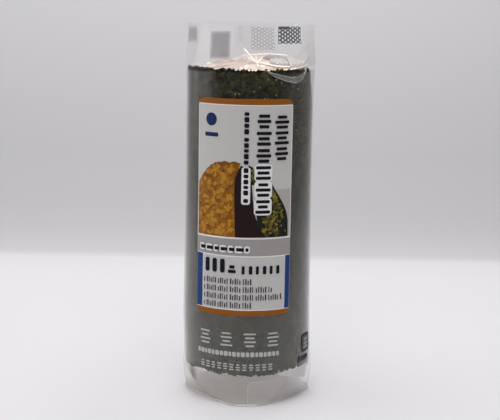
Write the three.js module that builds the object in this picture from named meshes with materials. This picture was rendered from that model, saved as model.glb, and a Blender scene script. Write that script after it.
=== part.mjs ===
// Hand roll sushi in its clear film wrap, standing upright on the film's open lower end.
//
// Lengths are in millimetres and angles in degrees. +Z runs up the roll, -Y is the labelled front, and
// +X is the right-hand side of the front. An angle round the roll is counted from the front towards +X.
// The origin is the middle of the film's lower rim. From the middle outwards lie the crushed natto, the
// rice, the inner film, the nori, the outer film and the paper label.

import * as THREE from "three";

// ---- Driving dimensions ---------------------------------------------------------------------------

const ROLL_LENGTH = 105; // width of a half sheet of nori, which sets the length of the roll
const WRAP_RADIUS = 22; // outside of the outer film where it lies on the nori
const FILM_BELOW = 10.6; // open film below the nori
const FILM_ABOVE = 14.8; // open film above the nori
const LAYER_GAP = 0.3; // clearance between neighbouring layers

// The roll has settled on its foot, which has made it a little wider from side to side there.
const TOP_SPREAD = 1.006;
const FOOT_SPREAD = 1.032;
const SPREAD_HEIGHTS = [20, 85];

const FILM_WALL = 0.25;
const FILM_LAP = 60; // the outer film ends this far under its own start
const FILM_EDGE_ANGLE = 1; // where its free edge shows, at the middle of the front

const CREASE_ANGLES = [-93, -12, 14, 88, 134, 181, 227]; // long creases of the film past the roll's ends
const FILM_STIFFNESS = 0.3; // share of its roundness that the film keeps between the creases
const CREASE_SOFTNESS = 6; // a crease is rounded over this angle to each side
const CREASE_REACH = 12; // the creases stand off the nori from this far inside its ends
const FLAT_START = 0.8; // the flats between them begin this far past its ends
const FLAT_END = 12; // and are fully formed this far past them
const UPPER_WIDTH = 0.96; // width of the upper open end beside an evenly creased one
const LOWER_WIDTH = 0.965;
const LOWER_DEPTH = 0.94; // and the same from front to back

const NORI_WALL = 0.3;
const NORI_SHEET = 190; // length of the half sheet that is rolled up
const NORI_EDGE_ANGLE = 205; // where the sheet's outer edge lies, at the back
const NORI_RAGGEDNESS = 0.45; // how far its cut ends wander in and out

const INNER_FILM_WALL = 0.25;
const GATHER_HOLE = 1.2; // radius of the hole left where the inner film is gathered over an end
const PLEAT_HEIGHT = 0.6;
const PLEAT_ANGLES = [-156, -110, -60, -25, 10, 60, 100, 147, 175]; // as seen from the gather
const PLEAT_WIDTH = 9; // to each side of a pleat's ridge

const FILLING_RADIUS = 7;
const FILLING_LUMPS = 0.7; // how far the filling's outline wanders in and out

const LABEL_WALL = 0.2;
const LABEL_BOTTOM = 32.3; // height of its lower edge
const LABEL_HEIGHT = 73.9;
const LABEL_ANGLES = [-50, 41]; // its left and right edges
const LABEL_CORNER = 2.4; // radius

// The two ends: how the food stands past the nori's end, and what faces outwards there.
const UPPER_END = {
  nori: FILM_BELOW + ROLL_LENGTH,
  outwards: 1,
  rimHeight: 0.3, // the food stands this far past the nori at its rim
  crown: 3.4, // and this much further in the middle
  crownTilt: 3.6, // its domed face is tilted up by this much
  crownAngle: 140, // towards this side
  gather: [2, -8], // where the inner film is gathered
};
const LOWER_END = {
  nori: FILM_BELOW,
  outwards: -1,
  rimHeight: 0,
  crown: 1.4,
  crownTilt: 0.4,
  crownAngle: -60,
  gather: [0, 0],
};

// ---- Derived dimensions ---------------------------------------------------------------------------

const FULL_TURN = 360;
const TOTAL_HEIGHT = FILM_BELOW + ROLL_LENGTH + FILM_ABOVE;
const FILM_TURNS = 1 + FILM_LAP / FULL_TURN;
const FILM_PITCH = FILM_WALL + LAYER_GAP;
const NORI_RADIUS = WRAP_RADIUS - FILM_PITCH * FILM_TURNS - FILM_WALL - LAYER_GAP;
const NORI_PITCH = NORI_WALL + LAYER_GAP;
const NORI_TURNS = NORI_SHEET / (2 * Math.PI * (NORI_RADIUS - NORI_PITCH));
const INNER_FILM_RADIUS = NORI_RADIUS - NORI_PITCH * NORI_TURNS - NORI_WALL - LAYER_GAP;
const RICE_RADIUS = INNER_FILM_RADIUS - INNER_FILM_WALL - LAYER_GAP;

const SIDES = 60; // facets round the rice, the filling and the inner film

const { degToRad, radToDeg, euclideanModulo, lerp, smoothstep } = THREE.MathUtils;

// ---- Small tools ----------------------------------------------------------------------------------

const cosine = (angle) => Math.cos(degToRad(angle));
const sine = (angle) => Math.sin(degToRad(angle));
const around = (angle, radius) => new THREE.Vector2(radius * sine(angle), -radius * cosine(angle));
const angleOf = (x, y) => radToDeg(Math.atan2(x, -y));
const angleBetween = (a, b) => Math.abs(euclideanModulo(a - b + 180, FULL_TURN) - 180);
const upTo = (count) => Array.from({ length: count }, (_, i) => i);

// Moves every vertex of a geometry to where place(x, y, z) puts it.
function reshape(geometry, place) {
  const positions = geometry.getAttribute("position");
  for (let i = 0; i < positions.count; i += 1) {
    positions.setXYZ(i, ...place(positions.getX(i), positions.getY(i), positions.getZ(i)));
  }
  geometry.computeVertexNormals();
  return geometry;
}

// The end view of a sheet wound round the Z axis. It starts on the outside at startAngle and winds
// inwards by pitch in each turn, in the direction of the turns' sign.
function woundSheet({ startAngle, turns, radius, pitch, wall, columns }) {
  const along = upTo(columns + 1).map((i) => {
    const turned = (turns * i) / columns;
    return { angle: startAngle + turned * FULL_TURN, radius: radius - pitch * Math.abs(turned) };
  });
  const outside = along.map((at) => around(at.angle, at.radius));
  const inside = along.map((at) => around(at.angle, at.radius - wall));
  return new THREE.Shape([...outside, ...inside.reverse()]);
}

// Draws an end view up through the given heights. Each vertex then moves to where place(x, y, height)
// puts it.
function drawnUp(shape, heights, place) {
  const steps = heights.length - 1;
  const geometry = new THREE.ExtrudeGeometry(shape, { depth: steps, steps, bevelEnabled: false });
  return reshape(geometry, (x, y, step) => place(x, y, heights[Math.round(step)]));
}

// A closed body made of rings. profile holds them in order, each with its radius at an angle, its
// centre, and the height of a point of it at an angle.
function ringed(profile) {
  const points = profile.map((_, i) => new THREE.Vector2(1, i));
  const geometry = new THREE.LatheGeometry([...points, points[0]], SIDES);
  return reshape(geometry, (x, row, z) => {
    const angle = angleOf(x, -z);
    const { radius, centre = [0, 0], height } = profile[Math.round(row)];
    const point = around(angle, radius(angle)).add(new THREE.Vector2(...centre));
    return [point.x, point.y, height(point, angle)];
  });
}

function settled(x, y, z) {
  return [x * lerp(FOOT_SPREAD, TOP_SPREAD, smoothstep(z, ...SPREAD_HEIGHTS)), y, z];
}

function part(name, geometry, color, roughness, opacity = 1) {
  const transparent = opacity < 1;
  const material = new THREE.MeshStandardMaterial({ color, roughness, opacity, transparent });
  const mesh = new THREE.Mesh(reshape(geometry, settled), material);
  mesh.name = name;
  return mesh;
}

// ---- Outer film -----------------------------------------------------------------------------------

// The radius of a creased film at an angle, beside that of a circle through its creases.
function sharpShare(angle) {
  const turnsFrom = CREASE_ANGLES.map((crease) => euclideanModulo(angle - crease, FULL_TURN));
  const last = turnsFrom.indexOf(Math.min(...turnsFrom));
  const next = CREASE_ANGLES[(last + 1) % CREASE_ANGLES.length];
  const half = euclideanModulo(next - CREASE_ANGLES[last], FULL_TURN) / 2;
  return lerp(cosine(half) / cosine(turnsFrom[last] - half), 1, FILM_STIFFNESS);
}

function softShare(angle) {
  const shares = [-1, -0.5, 0, 0.5, 1].map((side) => sharpShare(angle + side * CREASE_SOFTNESS));
  return shares.reduce((sum, share) => sum + share) / shares.length;
}

// The creased film is as long round its rim as the round film is.
const RIM_ANGLES = upTo(FULL_TURN);
const rimSide = (angle) => around(angle, softShare(angle)).distanceTo(around(angle + 1, softShare(angle + 1)));
const CREASE_SHARE = (2 * Math.PI) / RIM_ANGLES.reduce((sum, angle) => sum + rimSide(angle), 0);

// How far past the nori's ends a height lies: below zero between them.
const pastRoll = (z) => Math.max(LOWER_END.nori - z, z - UPPER_END.nori);

function outerFilm() {
  const endView = woundSheet({
    startAngle: FILM_EDGE_ANGLE,
    turns: -FILM_TURNS,
    radius: WRAP_RADIUS,
    pitch: FILM_PITCH,
    wall: FILM_WALL,
    columns: 63,
  });
  const lower = [0, 3.5, 6.5, FILM_BELOW - FLAT_START, 14, FILM_BELOW + CREASE_REACH];
  const upper = [
    UPPER_END.nori - CREASE_REACH, 110, UPPER_END.nori + FLAT_START, 119.5, 123, 127, TOTAL_HEIGHT,
  ];
  return drawnUp(endView, [...lower, ...upper], (x, y, z) => {
    const creased = CREASE_SHARE * softShare(angleOf(x, y));
    const start = creased > 1 ? -CREASE_REACH : FLAT_START;
    const share = lerp(1, creased, smoothstep(pastRoll(z), start, FLAT_END));
    const [endWidth, endDepth] = z > UPPER_END.nori ? [UPPER_WIDTH, 1] : [LOWER_WIDTH, LOWER_DEPTH];
    const drawnIn = smoothstep(pastRoll(z), 0, FLAT_END);
    return [x * share * lerp(1, endWidth, drawnIn), y * share * lerp(1, endDepth, drawnIn), z];
  });
}

// ---- Nori -----------------------------------------------------------------------------------------

// The sheet's cut ends are ragged, with teeth of several widths that differ between the two ends.
function raggedness(angle, outwards) {
  const teeth = [5, 11, 29, 47].map((count) => sine(count * angle + outwards * count * 17));
  return (NORI_RAGGEDNESS * teeth.reduce((sum, tooth) => sum + tooth)) / teeth.length;
}

function nori() {
  const endView = woundSheet({
    startAngle: NORI_EDGE_ANGLE,
    turns: NORI_TURNS,
    radius: NORI_RADIUS,
    pitch: NORI_PITCH,
    wall: NORI_WALL,
    columns: 150,
  });
  const ends = [LOWER_END.nori, UPPER_END.nori];
  return drawnUp(endView, ends, (x, y, z) => {
    const outwards = z === UPPER_END.nori ? 1 : -1;
    return [x, y, z - outwards * NORI_RAGGEDNESS + raggedness(angleOf(x, y), outwards)];
  });
}

// ---- Inner film and food --------------------------------------------------------------------------

// The height of the inner film's outer face over an end, before it is pleated: a low, tilted dome.
function endHeight(end, point) {
  const across = point.length() / INNER_FILM_RADIUS;
  const tilt = end.crownTilt * across * cosine(angleOf(point.x, point.y) - end.crownAngle);
  return end.nori + end.outwards * (end.rimHeight + (1 - across ** 2) * (end.crown + tilt));
}

// How far the film stands up in a fold at an angle and a share of the way from the gather to the rim.
function pleat(share, angle) {
  const nearest = Math.min(...PLEAT_ANGLES.map((ridge) => angleBetween(ridge, angle)));
  return PLEAT_HEIGHT * Math.max(0, 1 - nearest / PLEAT_WIDTH) * Math.sin(Math.PI * share);
}

function innerFilm() {
  const shares = [GATHER_HOLE / INNER_FILM_RADIUS, 0.18, 0.36, 0.56, 0.78, 1];
  const face = (end, wall) => shares.map((share) => ({
    radius: () => Math.min(share * INNER_FILM_RADIUS, INNER_FILM_RADIUS - wall),
    centre: end.gather.map((offset) => offset * (1 - share)),
    height: (point, angle) => endHeight(end, point) + end.outwards * (pleat(share, angle) - wall),
  }));
  return ringed([
    ...face(LOWER_END, 0),
    ...face(UPPER_END, 0).reverse(),
    ...face(UPPER_END, INNER_FILM_WALL),
    ...face(LOWER_END, INNER_FILM_WALL).reverse(),
  ]);
}

const FOOD_COVER = INNER_FILM_WALL + LAYER_GAP;
const foodHeight = (end) => (point) => endHeight(end, point) - end.outwards * FOOD_COVER;

function fillingRadius(angle) {
  return FILLING_RADIUS + FILLING_LUMPS * (0.6 * sine(3 * angle) + 0.4 * sine(5 * angle + 40));
}

function rice() {
  const rings = [0, 0.35, 0.7, 1].map((share) => (angle) => {
    return lerp(fillingRadius(angle) + LAYER_GAP, RICE_RADIUS, share);
  });
  const face = (end) => rings.map((radius) => ({ radius, height: foodHeight(end) }));
  return ringed([...face(LOWER_END), ...face(UPPER_END).reverse()]);
}

function filling() {
  const rings = [0, 0.5, 1].map((share) => (angle) => share * fillingRadius(angle));
  const face = (end) => rings.map((radius) => ({ radius, height: foodHeight(end) }));
  return ringed([...face(LOWER_END), ...face(UPPER_END).reverse()]);
}

// ---- Label ----------------------------------------------------------------------------------------

function label() {
  const [left, right] = LABEL_ANGLES;
  const radius = WRAP_RADIUS + LAYER_GAP + LABEL_WALL;
  const endView = woundSheet({
    startAngle: left,
    turns: (right - left) / FULL_TURN,
    radius,
    pitch: 0,
    wall: LABEL_WALL,
    columns: 26,
  });
  const fromEnds = [0, 0.15, 0.5, 1].map((share) => share * LABEL_CORNER);
  const heights = [...fromEnds, ...fromEnds.map((h) => LABEL_HEIGHT - h).reverse()];
  const middle = (left + right) / 2;
  const halfWidth = degToRad((right - left) / 2) * radius;
  return drawnUp(endView, heights, (x, y, height) => {
    const fromEnd = Math.min(height, LABEL_HEIGHT - height, LABEL_CORNER);
    const inset = LABEL_CORNER - Math.sqrt(LABEL_CORNER ** 2 - (LABEL_CORNER - fromEnd) ** 2);
    const angle = middle + (angleOf(x, y) - middle) * (1 - inset / halfWidth);
    const place = around(angle, Math.hypot(x, y));
    return [place.x, place.y, LABEL_BOTTOM + height];
  });
}

// ---- Assembly -------------------------------------------------------------------------------------

const handRoll = new THREE.Group();
handRoll.add(
  part("filling", filling(), "#a8794c", 0.6),
  part("rice", rice(), "#e6dccd", 0.55),
  part("inner_film", innerFilm(), "#e9ebec", 0.15, 0.35),
  part("nori", nori(), "#2c2c1e", 0.6),
  part("outer_film", outerFilm(), "#eef0f1", 0.12, 0.25),
  part("label", label(), "#d8d5d3", 0.5),
);

export default handRoll;
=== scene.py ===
"""Hand roll sushi in its clear film wrap, standing upright on the film's open lower end.

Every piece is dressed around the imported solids. Lengths are in metres. An angle round the roll is
in degrees, counted from the labelled front (-Y) towards +X.
"""

import math
import random

import bpy
from mathutils import Matrix, Vector, noise


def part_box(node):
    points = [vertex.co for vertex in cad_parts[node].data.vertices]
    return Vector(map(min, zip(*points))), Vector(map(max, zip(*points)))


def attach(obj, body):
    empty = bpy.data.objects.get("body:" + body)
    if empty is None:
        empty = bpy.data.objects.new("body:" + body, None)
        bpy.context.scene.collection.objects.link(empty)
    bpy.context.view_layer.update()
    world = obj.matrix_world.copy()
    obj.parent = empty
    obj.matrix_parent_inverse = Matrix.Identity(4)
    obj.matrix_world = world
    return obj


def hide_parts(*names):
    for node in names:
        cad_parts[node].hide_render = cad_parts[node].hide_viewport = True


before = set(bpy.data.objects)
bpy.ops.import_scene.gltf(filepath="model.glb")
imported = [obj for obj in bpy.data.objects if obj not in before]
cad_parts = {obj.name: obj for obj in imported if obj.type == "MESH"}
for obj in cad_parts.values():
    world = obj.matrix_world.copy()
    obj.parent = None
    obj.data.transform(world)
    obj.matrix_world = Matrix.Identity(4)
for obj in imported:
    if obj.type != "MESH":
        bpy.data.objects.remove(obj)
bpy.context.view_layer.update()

bl_info = {
    "name": "Hand Roll Sushi",
    "version": (1, 0, 0),
    "blender": (4, 5, 0),
    "location": "View3D > Sidebar > Hand Roll",
    "description": "Dresses a hand roll in its film wrap, with its food, label and prints",
    "category": "Add Mesh",
}

MM = 0.001
FULL_TURN = 360
SEED = 7

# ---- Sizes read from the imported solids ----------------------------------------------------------

FILM_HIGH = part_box("outer_film")[1]
NORI_LOW, NORI_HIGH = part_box("nori")
LABEL_LOW, LABEL_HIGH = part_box("label")

WRAP_RADIUS = -LABEL_LOW.y - 0.5 * MM  # the label and its clearance stand this far off the film
INNER_RADIUS = -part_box("inner_film")[0].y
RICE_RADIUS = -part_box("rice")[0].y
FILLING_RADIUS = -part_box("filling")[0].y

# The roll has settled on its foot, which has made it a little wider from side to side there.
TOP_SPREAD = 1.006
FOOT_SPREAD = 1.032
SPREAD_HEIGHTS = (20 * MM, 85 * MM)
FOOT_LEAN = 0.5 * MM  # and has drawn its foot a little to the right
LEAN_HEIGHTS = (10 * MM, 33 * MM)

# ---- Form of the wrap ---------------------------------------------------------------------------

FILM_EDGE_ANGLE = 1.0  # where the outer film's free edge shows, at the middle of the front
FILM_SEAL = 13.0  # width of the sealed lap that ends at that edge
CREASE_ANGLES = (-93.0, -12.0, 14.0, 88.0, 134.0, 181.0, 227.0)
CREASE_REACH = 12 * MM  # the creases stand off the nori from this far inside its ends
FLAT_START = 0.8 * MM  # the flats between them begin this far past its ends
FLAT_END = 12 * MM  # and are fully formed this far past them


def linear(hex_color):
    """An sRGB hex colour as linear red, green and blue."""
    channels = [int(hex_color[i : i + 2], 16) / 255 for i in (1, 3, 5)]
    return [c / 12.92 if c <= 0.04045 else ((c + 0.055) / 1.055) ** 2.4 for c in channels]


def number_setting(name, description, default, **kind):
    return bpy.props.FloatProperty(name=name, description=description, default=default, **kind)


def length_setting(name, description, default):
    return number_setting(name, description, default, unit="LENGTH")


def share_setting(name, description, default):
    return number_setting(name, description, default, min=0, max=1)


def angle_setting(name, description, degrees):
    return number_setting(name, description, math.radians(degrees), subtype="ANGLE")


def color_setting(name, description, hex_color):
    return bpy.props.FloatVectorProperty(
        name=name, description=description, default=linear(hex_color), subtype="COLOR", min=0, max=1
    )


class FilmSettings(bpy.types.PropertyGroup):
    radius: length_setting("Wrap radius", "Outside of the film on the nori", WRAP_RADIUS)
    thickness: length_setting("Film thickness", "Wall of both films", 0.06 * MM)
    lap_step: length_setting("Lap step", "How far the sealed lap stands up", 0.07 * MM)
    stiffness: share_setting("Stiffness", "Roundness that is kept between creases", 0.3)
    upper_width: share_setting("Upper width", "Of the upper open end, beside a round one", 0.96)
    lower_width: share_setting("Lower width", "Of the lower open end, beside a round one", 0.942)
    lower_depth: share_setting("Lower depth", "Of the lower open end, beside a round one", 0.94)
    haze: share_setting("Haze", "Share of the light that each face scatters", 0.012)
    foot_haze: share_setting("Foot haze", "The same below the nori, where it is frosted", 0.3)
    top_haze: share_setting("Top haze", "The same above the nori", 0.03)
    roughness: share_setting("Roughness", "How blurred the film's reflections are", 0.22)
    haze_color: color_setting("Haze colour", "Colour of the scattered light", "#f1f0ef")
    foot_color: color_setting("Foot haze colour", "The same where the foot is frosted", "#edebe6")
    inner_color: color_setting("Inner haze colour", "The same on the rice", "#ffecdc")


class FoodSettings(bpy.types.PropertyGroup):
    nori_color: color_setting("Nori", "Roasted sheet", "#0d0c05")
    nori_thin_color: color_setting("Thin nori", "Olive thin places in the sheet", "#4c4822")
    nori_fleck_color: color_setting("Nori flecks", "Pale flecks of fibre", "#a39c52")
    rice_color: color_setting("Rice", "Cooked grains", "#f8efe6")
    soy_color: color_setting("Soy stain", "Where the sauce has reached the rice", "#e3bd9c")
    bean_color: color_setting("Natto", "Crushed beans", "#c08a52")
    hull_color: color_setting("Natto hulls", "Darker hulls of the beans", "#6d431f")
    nori_thickness: length_setting("Nori thickness", "Wall of the sheet", 0.2 * MM)
    grain_length: length_setting("Grain length", "Length of a cooked rice grain", 5.6 * MM)
    bean_length: length_setting("Bean length", "Length of a crushed piece of bean", 3.2 * MM)


class LabelSettings(bpy.types.PropertyGroup):
    paper_color: color_setting("Paper", "Bare label paper", "#f6f4f2")
    ground_color: color_setting("Ground", "Pale tint of the label's ground", "#d0cdcb")
    ochre_color: color_setting("Ochre", "Bands along both ends", "#985a14")
    navy_color: color_setting("Navy", "Side bars", "#1c3f7d")
    text_color: color_setting("Text ink", "Rows and columns of marks", "#0b0c1c")
    grey_color: color_setting("Grey band", "Band under the picture", "#a7a3a1")
    thickness: length_setting("Paper thickness", "Wall of the label", 0.1 * MM)


class StageSettings(bpy.types.PropertyGroup):
    floor_color: color_setting("Floor", "Pale paper under the roll", "#d9d7da")
    camera_aside: length_setting("Camera aside", "To the right of the roll's axis", 0.7 * MM)
    camera_distance: length_setting("Camera distance", "From the roll's axis", 0.42)
    camera_height: length_setting("Camera height", "Above the floor", 0.1407)
    camera_pitch: angle_setting("Camera pitch", "Below the horizon", 10.2)
    camera_roll: angle_setting("Camera roll", "About its own axis", 1.0)
    lens: number_setting("Lens", "Focal length in millimetres", 86.8)


class HandRollSettings(bpy.types.PropertyGroup):
    film: bpy.props.PointerProperty(type=FilmSettings)
    food: bpy.props.PointerProperty(type=FoodSettings)
    label: bpy.props.PointerProperty(type=LabelSettings)
    stage: bpy.props.PointerProperty(type=StageSettings)


# ---- Small tools --------------------------------------------------------------------------------


def lerp(a, b, t):
    return a + (b - a) * t


def smoothstep(x, low, high):
    t = min(max((x - low) / (high - low), 0), 1)
    return t * t * (3 - 2 * t)


def bell(x, middle, width):
    return math.exp(-(((x - middle) / width) ** 2))


def spread_at(z):
    return lerp(FOOT_SPREAD, TOP_SPREAD, smoothstep(z, *SPREAD_HEIGHTS))


def settled(point):
    """Where a point of an evenly round roll lies once the roll has settled on its foot."""
    lean = FOOT_LEAN * (1 - smoothstep(point.z, *LEAN_HEIGHTS))
    return Vector((point.x * spread_at(point.z) + lean, point.y, point.z))


def around(angle, radius, z):
    """The point at an angle from the front and a distance from the axis."""
    turned = math.radians(angle)
    return Vector((radius * math.sin(turned), -radius * math.cos(turned), z))


def turn_from(a, b):
    """The shortest way round from angle a to angle b."""
    return (b - a + FULL_TURN / 2) % FULL_TURN - FULL_TURN / 2


def deselect_all():
    bpy.ops.object.select_all(action="DESELECT")


def select_only(piece):
    deselect_all()
    piece.select_set(True)
    bpy.context.view_layer.objects.active = piece


def just_added(name):
    piece = bpy.context.object
    piece.name = piece.data.name = name
    return piece


def flat_sheet(name, columns, rows):
    """A flat sheet one unit each way, with its corner at the origin and its own UV map."""
    deselect_all()
    bpy.ops.mesh.primitive_grid_add(size=1, x_subdivisions=columns, y_subdivisions=rows)
    piece = just_added(name)
    shape(piece, lambda co: Vector((co.x + 0.5, co.y + 0.5, 0)))
    return piece


def shape(piece, place):
    """Moves every point of a piece to place(point)."""
    for vertex in piece.data.vertices:
        vertex.co = place(vertex.co)
    piece.data.update()


def apply_modifier(piece, kind, **settings):
    select_only(piece)
    modifier = piece.modifiers.new(kind.title(), kind)
    for key, value in settings.items():
        setattr(modifier, key, value)
    bpy.ops.object.modifier_apply(modifier=modifier.name)


def thicken(piece, wall):
    """Gives a sheet its wall, inwards from its face."""
    apply_modifier(piece, "SOLIDIFY", thickness=wall, offset=-1, use_even_offset=False)


def weld(piece):
    """Merges the points of a piece that lie in one place."""
    apply_modifier(piece, "WELD", merge_threshold=0.001 * MM)


def smooth_shaded(piece, angle=60):
    select_only(piece)
    bpy.ops.object.shade_smooth_by_angle(angle=math.radians(angle))


def finish_piece(piece, material, slot, *nodes):
    """Gives a piece its material, its body and the solids it replaces. Its slot is not used."""
    shape(piece, settled)
    piece.data.materials.clear()
    piece.data.materials.append(material)
    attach(piece, "root")
    if nodes:
        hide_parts(*nodes)


def finish_sheet(sheet, wall, material, slot, *nodes):
    """Gives a sheet its wall and smooth shading, and finishes it."""
    thicken(sheet, wall)
    smooth_shaded(sheet)
    finish_piece(sheet, material, slot, *nodes)


def joined(name, pieces):
    """Joins pieces into one."""
    deselect_all()
    for piece in pieces:
        piece.select_set(True)
    bpy.context.view_layer.objects.active = pieces[0]
    if len(pieces) > 1:
        bpy.ops.object.join()
    return just_added(name)


def scattered(name, model, places):
    """Copies a model to each place and joins the copies. The model itself is removed."""
    copies = []
    for place in places:
        copy = model.copy()
        copy.data = model.data.copy()
        copy.data.transform(place)
        bpy.context.collection.objects.link(copy)
        copies.append(copy)
    bpy.data.objects.remove(model)
    return joined(name, copies)


# ---- Materials ----------------------------------------------------------------------------------


def rgba(color, share=1):
    """A share of a colour, with full alpha."""
    return (*[c * share for c in color], 1.0)


def add_node(tree, kind, settings=None, links=None):
    """Adds a node, sets its options, sockets and colour stops, and links its sockets. A link comes
    from a socket, or from the first socket of a node."""
    node = tree.nodes.new(kind)
    for key, value in (settings or {}).items():
        if key == "Stops":
            stops = node.color_ramp.elements
            while len(stops) < len(value):
                stops.new(0.5)
            for stop, (position, color) in zip(stops, value):
                stop.position, stop.color = position, color
        elif hasattr(node, str(key)):
            setattr(node, key, value)
        else:
            node.inputs[key].default_value = value
    for key, source in (links or {}).items():
        socket = source.outputs[0] if isinstance(source, bpy.types.Node) else source
        tree.links.new(socket, node.inputs[key])
    return node


def new_material(name):
    """An empty material, its node tree and the Object coordinates in it."""
    material = bpy.data.materials.new(name)
    material.use_nodes = True
    tree = material.node_tree
    tree.nodes.clear()
    return material, tree, add_node(tree, "ShaderNodeTexCoord").outputs["Object"]


def finish_material(material, surface):
    """The material, with its surface shader linked to its output."""
    add_node(material.node_tree, "ShaderNodeOutputMaterial", links={"Surface": surface})
    return material


def mottled(tree, where, grain, low, high):
    """An uneven pattern of the given grain, and its colours, between two stops."""
    pattern = add_node(tree, "ShaderNodeTexNoise", grain, {"Vector": where})
    return pattern, add_node(tree, "ShaderNodeValToRGB", {"Stops": (low, high)}, {"Fac": pattern})


def sleeve_wear(tree, where, facing, film):
    """How hazy the sleeve is, the haze's colour and how much of the gloss is left, by height. Its
    open ends are frosted by handling, more of the haze on its flanks lies in line with the eye, and
    it clings to the nori's cut edge, which stays dark."""
    foot, top = NORI_LOW.z / FILM_HIGH.z, NORI_HIGH.z / FILM_HIGH.z
    levels = (
        (0.0, film.foot_haze * 0.85),
        (foot * 0.6, film.foot_haze),
        (foot, film.foot_haze),
        (foot + 0.004, film.haze * 4.2),
        (0.33, film.haze * 2.6),
        (0.55, film.haze * 0.72),
        (top, film.haze * 0.32),
        (top + 0.01, film.top_haze),
    )
    parts = add_node(tree, "ShaderNodeSeparateXYZ", links={"Vector": where})
    height = add_node(
        tree, "ShaderNodeMath", {"operation": "DIVIDE", 1: FILM_HIGH.z}, {0: parts.outputs["Z"]}
    )
    shares = add_node(
        tree,
        "ShaderNodeValToRGB",
        {"Stops": [(position, (level, level, level, 1)) for position, level in levels]},
        {"Fac": height},
    )
    above_foot = add_node(
        tree, "ShaderNodeMapRange", {"From Min": foot, "From Max": foot + 0.02}, {"Value": height}
    )
    in_line = add_node(
        tree, "ShaderNodeMath", {"operation": "MULTIPLY_ADD", 1: 2.8, 2: 0.3}, {0: above_foot}
    )
    deeper = add_node(
        tree, "ShaderNodeMath", {"operation": "MULTIPLY_ADD", 2: 1.0}, {0: facing, 1: in_line}
    )
    aside = add_node(
        tree,
        "ShaderNodeMath",
        {"operation": "ADD"},
        {0: parts.outputs["X"], 1: parts.outputs["Y"]},
    )
    rubbed = add_node(
        tree,
        "ShaderNodeMapRange",
        {"From Min": -8 * MM, "From Max": 14 * MM, "To Min": 1.0, "To Max": 0.3},
        {"Value": aside},
    )
    even = add_node(tree, "ShaderNodeMix", {3: 1.0}, {0: above_foot, 2: rubbed})
    veil = add_node(tree, "ShaderNodeMath", {"operation": "MULTIPLY"}, {0: shares, 1: deeper})
    haze = add_node(tree, "ShaderNodeMath", {"operation": "MULTIPLY"}, {0: veil, 1: even})
    tint = add_node(
        tree,
        "ShaderNodeMix",
        {"data_type": "RGBA", 6: rgba(film.foot_color), 7: rgba(film.haze_color)},
        {0: above_foot},
    )
    past_edge = add_node(
        tree, "ShaderNodeMath", {"operation": "SUBTRACT", 1: NORI_HIGH.z}, {0: parts.outputs["Z"]}
    )
    distance = add_node(tree, "ShaderNodeMath", {"operation": "ABSOLUTE"}, {0: past_edge})
    gloss_left = add_node(
        tree,
        "ShaderNodeMapRange",
        {"From Min": 0.6 * MM, "From Max": 1.2 * MM, "To Min": 0.2, "To Max": 1.0},
        {"Value": distance},
    )
    return haze.outputs[0], tint.outputs[2], gloss_left


def hazy_film(name, film, haze, gloss=0.04, through=0.35, color=None, clings=False, ends=False):
    """Cast polypropylene film. Each face mirrors about 4% of the light head on and far more at a
    glance, and haze scatters a share of the rest, so the film greys what lies behind it. Tight
    folds hold many faces, so they are hazier and glossier. Film that clings to the rice is hazy in
    patches some millimetres across."""
    material, tree, where = new_material(name)
    dimples = add_node(
        tree, "ShaderNodeTexNoise", {"Scale": 0.3 / MM, "Detail": 3.0}, {"Vector": where}
    )
    bump = add_node(
        tree, "ShaderNodeBump", {"Strength": 0.25, "Distance": 0.05 * MM}, {"Height": dimples}
    )
    facing = add_node(tree, "ShaderNodeLayerWeight", {"Blend": 0.5}).outputs["Facing"]
    glance = add_node(tree, "ShaderNodeMath", {"operation": "POWER", 1: 5.0}, {0: facing})
    mirrored = add_node(
        tree, "ShaderNodeMath", {"operation": "MULTIPLY_ADD", 1: 1 - gloss, 2: gloss}, {0: glance}
    )
    clear = add_node(tree, "ShaderNodeBsdfTransparent")
    mirror = add_node(
        tree,
        "ShaderNodeBsdfGlossy",
        {"Color": rgba((1, 1, 1)), "Roughness": film.roughness},
        {"Normal": bump},
    )
    white = {"Color": rgba(color or film.haze_color)}
    diffuse = add_node(tree, "ShaderNodeBsdfDiffuse", white)
    glow = add_node(tree, "ShaderNodeBsdfTranslucent", white)
    scatter = add_node(tree, "ShaderNodeMixShader", {0: through}, {1: diffuse, 2: glow})
    hazy = add_node(tree, "ShaderNodeMixShader", {0: haze}, {1: clear, 2: scatter})
    if clings:
        patches = add_node(
            tree, "ShaderNodeTexNoise", {"Scale": 0.25 / MM, "Detail": 3.0}, {"Vector": where}
        )
        cover = add_node(
            tree,
            "ShaderNodeMapRange",
            {"From Min": 0.42, "From Max": 0.58, "To Min": 0.4 * haze, "To Max": 1.2 * haze},
            {"Value": patches},
        )
        tree.links.new(cover.outputs[0], hazy.inputs[0])
    if ends:
        worn_haze, tint, gloss_left = sleeve_wear(tree, where, facing, film)
        tree.links.new(worn_haze, hazy.inputs[0])
        tree.links.new(tint, diffuse.inputs["Color"])
        tree.links.new(tint, glow.inputs["Color"])
        mirrored = add_node(
            tree, "ShaderNodeMath", {"operation": "MULTIPLY"}, {0: mirrored, 1: gloss_left}
        )
    surface = add_node(tree, "ShaderNodeMixShader", links={0: mirrored, 1: hazy, 2: mirror})
    return finish_material(material, surface)


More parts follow.
